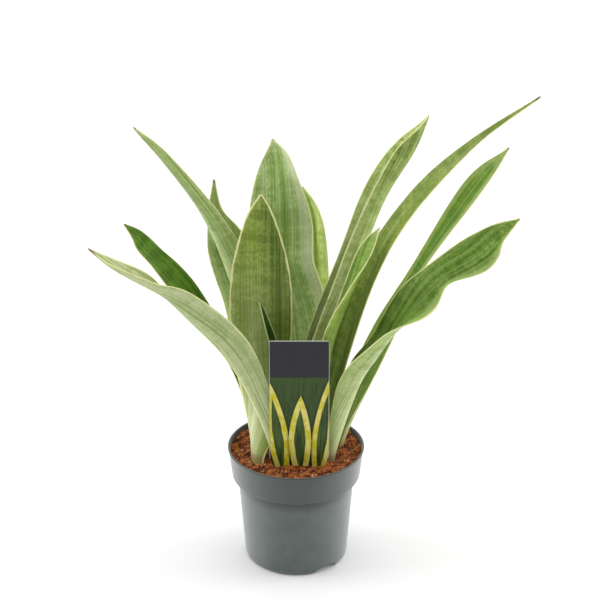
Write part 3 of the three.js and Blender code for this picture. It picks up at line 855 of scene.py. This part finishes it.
def pot_profile():
    """The pot's wall in half section, as a line of points that say whether they are on its dark inside."""
    lip_foot = POT_HEIGHT - LIP_HEIGHT
    profile = softened([
        (0.0, 0.0, 0, 0),
        (BASE_RADIUS, 0.0, 0.6, 0),
        (BASE_RADIUS + BASE_CHAMFER, BASE_CHAMFER, 0.7, 0),
        (BODY_FOOT_RADIUS, BODY_FOOT, 1.2, 0),
        (BODY_TOP_RADIUS, BODY_TOP, 0.7, 0),
        (BAND_BOTTOM_RADIUS - BAND_EDGE_INSET, BAND_BOTTOM - BAND_EDGE_DROP, 0.5, 0),
        (BAND_TOP_RADIUS, lip_foot, 0.25, 0),
        (LIP_RADIUS, lip_foot, 0.25, 0),
        (LIP_RADIUS, POT_HEIGHT, 0.55, 0),
        (LIP_RADIUS - LIP_WIDTH, POT_HEIGHT, 0.5, 1),
        (BAND_TOP_RADIUS - WALL, lip_foot - LIP_FILLET, 0.6, 1),
        (BAND_BOTTOM_RADIUS - WALL, BAND_BOTTOM + WALL, 0.8, 1),
        (BODY_TOP_RADIUS - WALL, BODY_TOP + WALL / 2, 0.8, 1),
        (BODY_FOOT_RADIUS - WALL, BODY_FOOT, 1.0, 1),
        (BASE_RADIUS - WALL, FLOOR_THICKNESS, 0.8, 1),
        (0.0, FLOOR_THICKNESS, 0, 1),
    ])
    line = line_object("nursery_pot", [(radius, 0, height) for radius, height, _ in profile])
    mark_points(line, "inside", [inside for _, _, inside in profile])
    return line


def pot_tree():
    """Turns a profile round Z, adds the raised floors over the drain arches and cuts arches and holes."""
    inputs = {
        "Profile": "geometry",
        "Sides": POT_SIDES,
        "Arches": ARCH_COUNT,
        "Arch Turn": math.radians(ARCH_TURN),
        "Arch Half Width": ARCH_HALF_WIDTH * MM,
        "Arch Height": ARCH_HEIGHT * MM,
        "Arch Cap": ARCH_CAP * MM,
        "Arch Start": ARCH_INNER_RADIUS * MM,
        "Foot Radius": BASE_RADIUS * MM,
        "Drain Radius": DRAIN_RADIUS * MM,
        "Drain Place": DRAIN_PLACE * MM,
        "Material": "material",
    }
    maker, given = new_tree("Turned pot", "GeometryNodeTree", inputs, {"Pot": "geometry"})
    sides = given.sides
    sheet, column, at_row = line_sheet(maker, given.profile, sides + 1)
    radius, _, height = maker.parts(at_row(maker.wire("GeometryNodeInputPosition"), "FLOAT_VECTOR"))
    cosine, sine = maker.around(column * (2 * math.pi) / sides)
    point = maker.vector(radius * cosine, radius * sine, height)
    turned = maker.geometry("SetPosition", sheet, {"Position": point})
    marked = maker.store(turned, "inside", at_row(maker.attribute("inside")))
    shell = maker.geometry("MergeByDistance", marked, {"Distance": WELD_DISTANCE})

    def at_each_arch(place, turning, scale):
        """A round bar at every arch, whose faces are marked as cut."""
        inputs = {"Vertices": BAR_SIDES, "Radius": 1.0, "Depth": 1.0}
        bar = maker.wire("GeometryNodeMeshCylinder", inputs, "Mesh")
        place, scale = maker.vector(place, 0, 0), maker.vector(*scale)
        bar = maker.geometry("Transform", bar, {"Translation": place, "Rotation": turning, "Scale": scale})
        # The pot's material paints the faces marked as cut near black, as painted shade in the tunnels and
        # drain holes.
        bar = maker.store(bar, "cut", 1.0, domain="FACE")
        points = maker.wire("GeometryNodeMeshLine", {"Count": given.arches, "Offset": (0, 0, 0)})
        index = maker.wire("GeometryNodeInputIndex")
        turns = maker.vector(0, 0, index * (2 * math.pi) / given.arches + given.arch_turn)
        inputs = {"Points": points, "Instance": bar, "Rotation": turns}
        return maker.geometry("RealizeInstances", maker.wire("GeometryNodeInstanceOnPoints", inputs))

    upright, lying = (0, 0, 0), (0, math.radians(90), 0)
    high, wide, drain = given.arch_height, given.arch_half_width, given.drain_radius
    start, foot, cap = given.arch_start, given.foot_radius, given.arch_cap
    tunnel_length = foot * TUNNEL_REACH - start
    tunnels = at_each_arch(start + tunnel_length / 2, lying, (high, wide, tunnel_length))
    cover_length = foot * COVER_REACH - start + cap
    covers = at_each_arch(start - cap + cover_length / 2, lying, (high + cap, wide + cap, cover_length))
    drains = at_each_arch(given.drain_place, upright, (drain, drain, foot * DRAIN_DEPTH))
    flare, depth = foot * CORE_FLARE, foot * CORE_DEPTH
    inputs = {"Vertices": sides, "Radius Bottom": foot, "Radius Top": flare, "Depth": depth}
    core = maker.wire("GeometryNodeMeshCone", inputs, "Mesh")
    core = maker.geometry("Transform", core, {"Translation": (0, 0, CORE_LIFT * MM)})

    def combined(operation, inputs):
        return maker.wire("GeometryNodeMeshBoolean", inputs, "Mesh", operation=operation, solver="EXACT")

    floors = maker.store(combined("INTERSECT", {1: [covers, core]}), "cut", 0.0, domain="FACE")
    cups = combined("UNION", {1: [shell, floors]})
    cut = combined("DIFFERENCE", {0: cups, 1: [tunnels, drains]})
    return maker.finish("Pot", cut, given.material, True)


def plastic_group():
    """Colour, roughness and relief of moulded recycled plastic: faint clouds, flow marks and fine pitting."""
    inputs = {"Colour": "43504C", "Seed": 0.0}
    maker, given = new_tree("Moulded plastic", "ShaderNodeTree", inputs, SKIN_OUTPUTS)
    x, y, z = maker.parts(maker.shaded_place())
    shifted = maker.vector(x + given.seed, y, z)
    clouds = maker.noise(shifted, 0.045, 4.0, 0.6)
    flow = maker.noise(maker.vector(x * 0.6 + given.seed, y * 0.6, z * 0.06), 0.35, 3.0)
    pitting = maker.noise(shifted, 3.2, 3.0, 0.6)
    colour = maker.mix(clouds.smooth(0.3, 0.75) * 0.05, given.colour, (0.6, 0.62, 0.6, 1.0))
    colour = maker.mix(flow.smooth(0.45, 0.75) * 0.1, colour, (0.55, 0.56, 0.56, 1.0), "MULTIPLY")
    colour = maker.mix(pitting.smooth(0.4, 0.7) * 0.08, colour, (0.5, 0.5, 0.5, 1.0), "MULTIPLY")
    roughness = 0.32 + clouds * 0.12 + pitting * 0.06
    relief = pitting * 0.5 + flow * 0.3
    maker.node("NodeGroupOutput", {"Colour": colour, "Roughness": roughness, "Relief": relief})
    return maker.tree


def pot_material(group):
    """The pot's plastic, a darker band at the top, painted shade under it, a dark inside that is partly its
    own dark plastic and partly painted shade, near-black painted shade in the arch tunnels and drain holes,
    and a little soil on the inside.
    """
    material, maker, shader = new_material("pot plastic")
    plastic = maker.node("ShaderNodeGroup", {"Seed": 4.0}, node_tree=group)
    colour, roughness, relief = (maker.out(plastic, output) for output in SKIN_OUTPUTS)
    inside = maker.attribute("inside").smooth(0.1, 0.45)
    place = maker.shaded_place()
    _, _, z = maker.parts(place)
    soiled = (z + maker.noise(place, 0.5, 4.0) * 6).smooth(STAIN_TOP, STAIN_FOOT) * inside
    band = z.smooth(BAND_BOTTOM - BAND_FADE, BAND_BOTTOM)
    # Painted shade: the body is darkened for some millimetres under the band, where the band shades it.
    band_painted_shade = z.smooth(BODY_TOP - BAND_SHADE_DEPTH, BODY_TOP - BAND_SHADE_START) * (1 - band)
    colour = maker.mix(band, colour, (0.36, 0.42, 0.4, 1.0), "MULTIPLY")
    colour = maker.mix(band_painted_shade, colour, (0.25, 0.25, 0.25, 1.0), "MULTIPLY")
    # The dark inside is partly the plastic's own dark inner skin and partly painted shade; the cut tunnel and
    # drain faces are painted near black as shade.
    colour = maker.mix(inside.larger(maker.attribute("cut").smooth(0.4, 0.6)), colour, "12100F")
    colour = maker.mix(soiled * 0.5, colour, "43291A")
    uniform = {"Specular IOR Level": 0.5, "Sheen Weight": 0.65, "Sheen Roughness": 0.5}
    finish_shader(maker, shader, colour, roughness + soiled * 0.25, relief, 0.06, uniform)
    return material


def add_pot(group):
    pot = run_tree(pot_profile(), pot_tree(), {"Material": pot_material(group)})
    pot.data.shade_smooth()
    pot.data.set_sharp_from_angle(angle=math.radians(SHARP_ANGLE))
    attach(pot, "root")
    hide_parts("pot")


# Coir


def soil_height(x, y):
    """The height of the coir's lumpy top over a place in the pot, in millimetres."""
    height = SOIL_LEVEL + SOIL_DOME * (1 - (x * x + y * y) / SOIL_EDGE**2)
    for along_x, along_y, start, wave in SOIL_WAVES:
        height = height + wave * np.sin(along_x * x + along_y * y + start)
    return height


def crust_body():
    """A closed crust of coir, whose top follows the bed's lumps and is marked for the crumbs."""
    turns = np.linspace(0, 2 * np.pi, CRUST_SIDES, endpoint=False)
    points = [(0, 0, float(soil_height(0, 0)))]
    for ring in range(1, CRUST_RINGS + 1):
        radius = CRUST_EDGE * ring / CRUST_RINGS
        x, y = radius * np.cos(turns), radius * np.sin(turns)
        points.extend(zip(x, y, soil_height(x, y)))
    top_count = len(points)
    edge = CRUST_EDGE - CRUST_TAPER
    points.extend(zip(edge * np.cos(turns), edge * np.sin(turns), np.full(CRUST_SIDES, CRUST_FOOT)))
    points.append((0, 0, CRUST_FOOT))

    def at(ring, side):
        return 1 + (ring - 1) * CRUST_SIDES + side % CRUST_SIDES

    faces = []
    for side in range(CRUST_SIDES):
        faces.append((0, at(1, side), at(1, side + 1)))
        for ring in range(1, CRUST_RINGS + 1):
            faces.append((at(ring, side), at(ring + 1, side), at(ring + 1, side + 1), at(ring, side + 1)))
        faces.append((len(points) - 1, at(CRUST_RINGS + 1, side + 1), at(CRUST_RINGS + 1, side)))
    crust = mesh_object("coir", points, (), faces)
    mark_points(crust, "top", np.arange(len(points)) < top_count)
    return crust


def fibre_strand(maker, length, radius):
    """A thin straight fibre along X, with its middle at the origin."""
    step = (1 / (FIBRE_POINTS - 1), 0, 0)
    inputs = {"Count": FIBRE_POINTS, "Start Location": (-0.5, 0, 0), "Offset": step}
    line = maker.wire("GeometryNodeMeshLine", inputs)
    strand = maker.wire("GeometryNodeMeshToCurve", {"Mesh": line})
    strand = maker.geometry("Transform", strand, {"Scale": maker.vector(length, 1.0, 1.0)})
    section = maker.wire("GeometryNodeCurvePrimitiveCircle", {"Resolution": 3, "Radius": radius}, "Curve")
    inputs = {"Curve": strand, "Profile Curve": section, "Fill Caps": True}
    return maker.wire("GeometryNodeCurveToMesh", inputs)


def coir_tree():
    """Roughens a crust of coir and strews crumbs and fibres over it, clear of the stems."""
    inputs = {
        "Crust": "geometry",
        "Stems": "object",
        "Bed Radius": SOIL_EDGE * MM,
        "Coarse Rise": 1.8 * MM,
        "Fine Rise": 1.6 * MM,
        "Crumbs": 660000.0,
        "Smallest Crumb": 0.45 * MM,
        "Largest Crumb": 1.25 * MM,
        "Crumb Bend": 0.9 * MM,
        "Fibres": 60000.0,
        "Fibre Length": 9 * MM,
        "Fibre Radius": 0.11 * MM,
        "Fibre Bend": 6 * MM,
        "Fibre Lift": 0.5 * MM,
        "Rim Clearance": 0.8 * MM,
        "Stem Clearance": 0.5 * MM,
        "Seed": 11,
        "Material": "material",
    }
    maker, given = new_tree("Coir bed", "GeometryNodeTree", inputs, {"Coir": "geometry"})
    position = maker.wire("GeometryNodeInputPosition")
    top = maker.attribute("top")
    coarse = maker.noise(position, 160.0, 3.0, 0.6) - 0.5
    fine = maker.noise(position, 620.0, 3.0, 0.65) - 0.5
    rise = maker.vector(0, 0, (coarse * given.coarse_rise + fine * given.fine_rise) * top)
    bed = maker.geometry("SetPosition", given.crust, {"Offset": rise})
    # Painted shade: the bed's tone follows its fine relief, so its hollows take the darker colours.
    bed = maker.store(bed, "tone", 0.4 + fine * 0.8)
    inputs = {"Object": given.stems}
    stems = maker.wire("GeometryNodeObjectInfo", inputs, "Geometry", transform_space="ORIGINAL")
    x, y, _ = maker.parts(position)
    inputs = {0: maker.vector(x, y, 0.0)}
    from_middle = maker.wire("ShaderNodeVectorMath", inputs, "Value", operation="LENGTH")
    from_rim = given.bed_radius - from_middle

    def drawn(kind, low, high, salt):
        """A random value for each point."""
        first = {"FLOAT_VECTOR": 0, "FLOAT": 2}[kind]
        inputs = {first: low, first + 1: high, 8: given.seed + SALTS[salt]}
        return maker.wire("FunctionNodeRandomValue", inputs, data_type=kind)

    def strewn(name, density, shape, size, turning, clearance):
        """Copies of a shape all over the bed, clear of its rim and of the stems."""
        on_top = maker.math("GREATER_THAN", top, 0.6)
        upward = on_top * maker.math("GREATER_THAN", from_rim, given.rim_clearance)
        inputs = {"Mesh": bed, "Selection": upward, "Density": density, "Seed": given.seed + SALTS[name]}
        points = maker.wire("GeometryNodeDistributePointsOnFaces", inputs, "Points")
        distance = maker.wire("GeometryNodeProximity", {0: stems}, "Distance", target_element="FACES")
        too_near = maker.math("LESS_THAN", distance, clearance)
        kept = maker.geometry("DeleteGeometry", points, {"Selection": too_near}, domain="POINT")
        inputs = {"Points": kept, "Instance": shape, "Rotation": turning, "Scale": size}
        spread = maker.wire("GeometryNodeInstanceOnPoints", inputs)
        tone = drawn("FLOAT", 0.0, 1.0, name + " tone")
        return maker.geometry("RealizeInstances", maker.store(spread, "tone", tone, domain="INSTANCE"))

    def bent(shape, scale, distance):
        offset = (maker.noise(position, scale, 1.0, output=1) - (0.5, 0.5, 0.5)) * distance
        return maker.geometry("SetPosition", shape, {"Offset": offset})

    pebble = maker.wire("GeometryNodeMeshIcoSphere", {"Radius": 1.0, "Subdivisions": 1}, "Mesh")
    share = drawn("FLOAT", 0.0, 1.0, "crumb size")
    spread_size = given.largest_crumb - given.smallest_crumb
    size = given.smallest_crumb + share * share * share * spread_size
    size = drawn("FLOAT_VECTOR", (0.45, 0.55, 0.5), (1.0, 1.1, 1.5), "crumb shape") * size
    turning = drawn("FLOAT_VECTOR", (0.0, 0.0, 0.0), (ANY_TURN, ANY_TURN, ANY_TURN), "crumb turn")
    crumbs = strewn("crumb", given.crumbs, pebble, size, turning, given.stem_clearance)
    crumbs = bent(crumbs, 900.0, given.crumb_bend)

    length = given.fibre_length
    strand = fibre_strand(maker, length, given.fibre_radius)
    long, wide, thick = maker.parts(drawn("FLOAT_VECTOR", (0.35, 0.8, 0.8), (1.2, 1.4, 1.4), "fibre shape"))
    size = maker.vector(maker.math("MINIMUM", long, from_rim / (length * 0.6)), wide, thick)
    tilts = (-FIBRE_TILT, -FIBRE_TILT, 0.0), (FIBRE_TILT, FIBRE_TILT, ANY_TURN)
    turning = drawn("FLOAT_VECTOR", *tilts, "fibre turn")
    fibres = strewn("fibre", given.fibres, strand, size, turning, length * 0.5)
    fibres = bent(fibres, 130.0, given.fibre_bend)
    fibres = maker.geometry("SetPosition", fibres, {"Offset": maker.vector(0, 0, given.fibre_lift)})
    joined = maker.wire("GeometryNodeJoinGeometry", {0: [bed, crumbs, fibres]})
    return maker.finish("Coir", joined, given.material, False)


def coir_material():
    material, maker, shader = new_material("coir")
    place = maker.shaded_place()
    grain = maker.noise(place, 2.4, 4.0, 0.65)
    patches = maker.noise(place, 0.12)
    level = maker.attribute("tone") + (grain - 0.5) * 0.5 + (patches - 0.5) * 0.35
    ramp = maker.node("ShaderNodeValToRGB", {0: level})
    elements = ramp.color_ramp.elements
    while len(elements) < len(COIR_TONES):
        elements.new(1.0)
    for element, (at, colour) in zip(elements, COIR_TONES):
        element.position = at
        element.color = coloured(colour)
    roughness = 0.85 + (grain - 0.5) * 0.2
    uniform = {"Specular IOR Level": 0.25}
    finish_shader(maker, shader, maker.out(ramp, "Color"), roughness, grain, 0.3, uniform)
    return material


def add_coir(blades):
    material = coir_material()
    stems = linked(bpy.data.objects.new("stems", joined_mesh([b.data for b in blades])))
    coir = run_tree(crust_body(), coir_tree(), {"Stems": stems, "Material": material})
    bpy.data.objects.remove(stems)
    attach(coir, "root")
    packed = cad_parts["soil"]
    packed.data.materials.clear()
    packed.data.materials.append(material)


# Tag


def tag_outline():
    half, foot = TAG_WIDTH / 2, TAG_FOOT_WIDTH / 2
    points = [(-foot, TAG_FOOT), (foot, TAG_FOOT), (half, TAG_TAPER_TOP)]
    for side, first in ((1, 0), (-1, 90)):
        for step in range(TAG_CORNER_STEPS + 1):
            turn = math.radians(first + 90 / TAG_CORNER_STEPS * step)
            x = side * (half - TAG_CORNER) + TAG_CORNER * math.cos(turn)
            points.append((x, TAG_TOP - TAG_CORNER + TAG_CORNER * math.sin(turn)))
    points.append((-half, TAG_TAPER_TOP))
    return points


def card_picture(maker, x, z, place, fibre):
    """A plain pattern of green leaves with yellow margins over a dark ground."""
    rise = (z - SOIL_LEVEL) / CARD_UNIT
    speckle = maker.noise(place, 0.5, 4.0)
    picture = maker.mix(z.smooth(GROUND_DARK, GROUND_LIGHT), "2A4212", "3A541A")
    picture = maker.mix(fibre.smooth(0.4, 0.7) * 0.6, picture, "14240A")
    picture = maker.mix(speckle.smooth(0.55, 0.75) * 0.4, picture, "4B6A2C")
    yellow = maker.mix(maker.noise(place, 0.11).smooth(0.38, 0.62), "D0C61C", "E6DC78")
    green = maker.mix(fibre.smooth(0.35, 0.65), "1E3408", "4A6420")
    for foot, lean, curve, top, width, border in CARD_LEAVES:
        middle = rise * lean + rise * rise * curve + foot
        part = rise / top
        half = (1 - part * part * part).larger(0.0) * width * rise.smooth(-0.5, 0.35)
        off = abs(x - middle) - half + part.smooth(1.0, 1.02) * 4
        picture = maker.mix(off.smooth(3.0, 0.0) * 0.6, picture, "0A140A")
        leaf = maker.mix((off + border + (fibre - 0.5) * 1.5).smooth(0.25, -0.25), yellow, green)
        picture = maker.mix(off.smooth(0.2, -0.2), picture, leaf)
    return picture


def tag_material():
    """A printed card: a bare charcoal panel over a pattern of leaves, a plain back and a pale cut edge."""
    material, maker, shader = new_material("tag card")
    place = maker.shaded_place()
    x, y, z = maker.parts(place)
    x = x - TAG_MIDDLE
    _, facing, _ = maker.parts(maker.wire("ShaderNodeNewGeometry", None, "Normal"))
    fibre = maker.noise(maker.vector(x, y, z * 0.06), 0.7, 3.0)
    fine = maker.noise(place, 2.5, 3.0)
    panel = maker.mix(fine.smooth(0.4, 0.7) * 0.25, "26262B", "2F2F35")
    front = card_picture(maker, x, z, place, fibre)
    front = maker.mix(z.smooth(TAG_PANEL_FOOT - PRINT_EDGE, TAG_PANEL_FOOT + PRINT_EDGE), front, panel)
    edge = maker.math("MINIMUM", TAG_WIDTH / 2 - abs(x), TAG_TOP - z)
    front = maker.mix(edge.smooth(*PRINT_BORDER), front, "A9ADA2")
    back = maker.mix(fine.smooth(0.3, 0.7) * 0.3, "E4E4DE", "D2D3CB")
    colour = maker.mix(facing.smooth(0.2, 0.6), front, back)
    colour = maker.mix(abs(facing).smooth(0.7, 0.4), colour, "D9DBD2")
    roughness = 0.42 + (fine - 0.5) * 0.15
    relief = fine * 0.4 + fibre * 0.4
    finish_shader(maker, shader, colour, roughness, relief, 0.04, {"Specular IOR Level": 0.3})
    return material


def add_tag():
    outline = tag_outline()
    count = len(outline)
    front, back = TAG_PLANE - TAG_THICKNESS / 2, TAG_PLANE + TAG_THICKNESS / 2
    points = [(x + TAG_MIDDLE, y, z) for y in (front, back) for x, z in outline]
    faces = [tuple(range(count)), tuple(reversed(range(count, 2 * count)))]
    faces += [(i, i + count, (i + 1) % count + count, (i + 1) % count) for i in range(count)]
    tag = mesh_object("care_tag", points, (), faces)
    tag.data.materials.append(tag_material())
    bevel = tag.modifiers.new("Soft edge", "BEVEL")
    bevel.width = TAG_BEVEL * MM
    bevel.segments = 2
    keep_modified(tag)
    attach(tag, "root")
    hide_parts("tag")


# Camera, floor and lights


def add_camera():
    lens = bpy.data.cameras.new("camera")
    lens.sensor_width = SENSOR_WIDTH
    lens.lens = FOCAL_LENGTH / PHOTO_SIDE * SENSOR_WIDTH
    lens.clip_end = CAMERA_REACH
    camera = linked(bpy.data.objects.new("camera", lens))
    camera.location = CAMERA_PLACE
    camera.rotation_euler = (math.radians(90 - CAMERA_PITCH), 0, 0)
    bpy.context.scene.camera = camera


def add_floor():
    ways = [(-1, -1), (1, -1), (1, 1), (-1, 1)]
    corners = [(x * FLOOR_REACH, y * FLOOR_REACH, 0) for x, y in ways]
    floor = mesh_object("floor", corners, (), [(0, 1, 2, 3)])
    material, maker, shader = new_material("pale floor")
    maker.plug(shader, {
        "Base Color": (FLOOR_TONE, FLOOR_TONE, FLOOR_TONE, 1),
        "Emission Color": (1, 1, 1, 1),
        "Emission Strength": FLOOR_GLOW,
        "Roughness": 0.9,
        "Specular IOR Level": 0.1,
    })
    floor.data.materials.append(material)


def add_backdrop():
    """White all round, and dimmer in front of the plant."""
    world = bpy.data.worlds.new("studio")
    world.use_nodes = True
    maker = Maker(world.node_tree)
    _, backward, _ = maker.parts(maker.wire("ShaderNodeTexCoord", None, "Generated"))
    strength = backward.smooth(-0.9, 0.3, DIM_FRONT, BRIGHT_BACK)
    maker.plug(world.node_tree.nodes["Background"], {"Color": (1, 1, 1, 1), "Strength": strength})
    bpy.context.scene.world = world
    bpy.context.scene.view_settings.view_transform = "Standard"


def add_lights():
    for name, (place, size, power) in SOFTBOXES.items():
        lamp = bpy.data.lights.new(name, "AREA")
        lamp.shape = "SQUARE"
        lamp.size = size
        lamp.energy = power
        light = linked(bpy.data.objects.new(name, lamp))
        light.location = place
        light.rotation_euler = (Vector(LIGHT_TARGET) - Vector(place)).to_track_quat("-Z", "Y").to_euler()


add_camera()
add_floor()
add_backdrop()
add_lights()
add_pot(plastic_group())
add_coir(add_blades())
add_tag()
